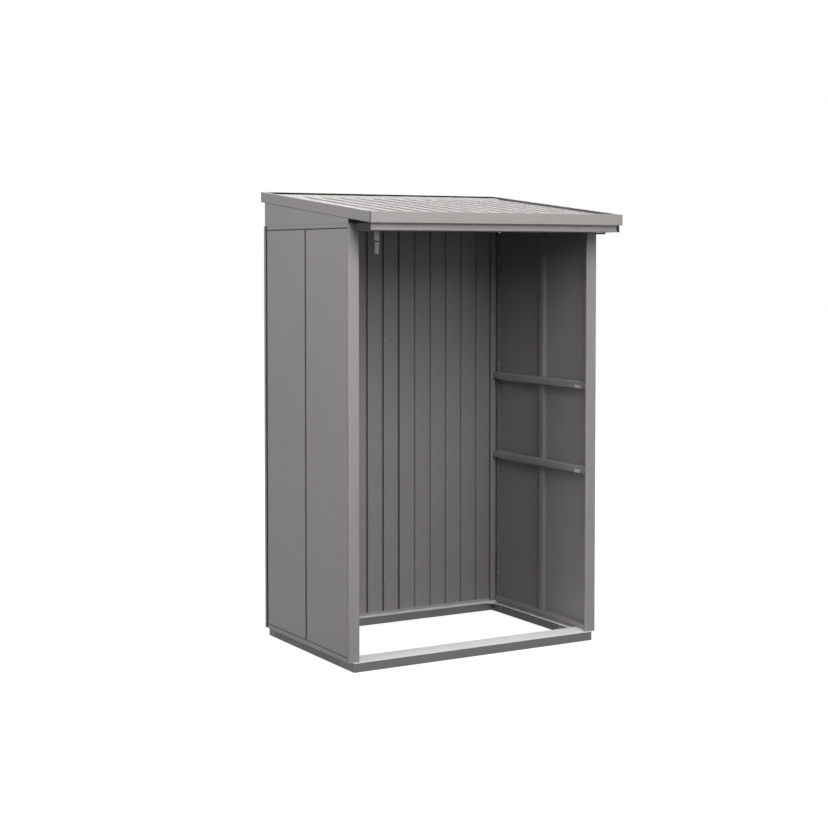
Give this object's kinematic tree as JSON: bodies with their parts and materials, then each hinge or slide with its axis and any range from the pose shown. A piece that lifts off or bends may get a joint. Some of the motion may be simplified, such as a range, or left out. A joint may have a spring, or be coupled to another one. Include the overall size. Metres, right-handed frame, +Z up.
{
  "type": "log store",
  "caption": "Open-fronted garden log store in grey painted sheet steel: ribbed pent roof and back wall, galvanised base frame, gutter with an outlet under the roof's front edge.",
  "frame": {"origin": "on the ground, under the middle of the roof's outline (bounding box bottom centre)", "axes": "+Z up; the open front faces -Y and the roof rises towards +Y; +X to the right seen from the front, so the gutter's outlet is at -X"},
  "size_m": [1.24, 1.014, 1.9897],
  "materials": {
    "painted_steel": "satin powder coat, warm quartz grey",
    "galvanised_steel": "hot-dip galvanised, fine spangle, dull",
    "screw_steel": "zinc-plated screw heads",
    "outlet_plastic": "grey moulded plastic, slightly clouded",
    "black_plastic": "black moulded plastic with a fine grain",
    "seal_rubber": "matt black rubber"
  },
  "bodies": {
    "root": {"base_front_sill": "galvanised_steel", "base_back_rail": "galvanised_steel", "base_left_rail": "galvanised_steel", "base_right_rail": "galvanised_steel", "base_corner_brackets": "galvanised_steel", "base_corner_screws": "screw_steel", "front_left_post": "painted_steel", "front_right_post": "painted_steel", "rear_left_post": "painted_steel", "rear_right_post": "painted_steel", "rear_left_corner_trim": "painted_steel", "rear_right_corner_trim": "painted_steel", "left_foot_rail": "painted_steel", "right_foot_rail": "painted_steel", "back_foot_rail": "painted_steel", "left_front_panel": "painted_steel", "left_rear_panel": "painted_steel", "right_front_panel": "painted_steel", "right_rear_panel": "painted_steel", "back_left_sheet": "painted_steel", "back_right_sheet": "painted_steel", "left_top_rail": "painted_steel", "right_top_rail": "painted_steel", "back_top_rail": "painted_steel", "front_header": "painted_steel", "left_gable": "painted_steel", "right_gable": "painted_steel", "left_upper_side_rail": "painted_steel", "left_lower_side_rail": "painted_steel", "right_upper_side_rail": "painted_steel", "right_lower_side_rail": "painted_steel", "side_rail_brackets": "painted_steel", "side_rail_clips": "galvanised_steel", "side_rail_screws": "screw_steel", "roof_left_sheet": "painted_steel", "roof_right_sheet": "painted_steel", "roof_front_fascia": "painted_steel", "roof_back_fascia": "painted_steel", "roof_left_fascia": "painted_steel", "roof_right_fascia": "painted_steel", "roof_corner_angles": "painted_steel", "front_purlin": "painted_steel", "middle_purlin": "painted_steel", "rear_purlin": "painted_steel", "gutter": "painted_steel", "gutter_left_cap": "black_plastic", "gutter_right_stop_end": "black_plastic", "gutter_hangers": "painted_steel", "gutter_hanger_screws": "screw_steel", "outlet_socket": "outlet_plastic", "outlet_seal": "seal_rubber", "outlet_spigot": "outlet_plastic", "panel_screws": "screw_steel", "back_foot_screws": "screw_steel", "back_lap_screws": "screw_steel"}
  },
  "joints": []
}
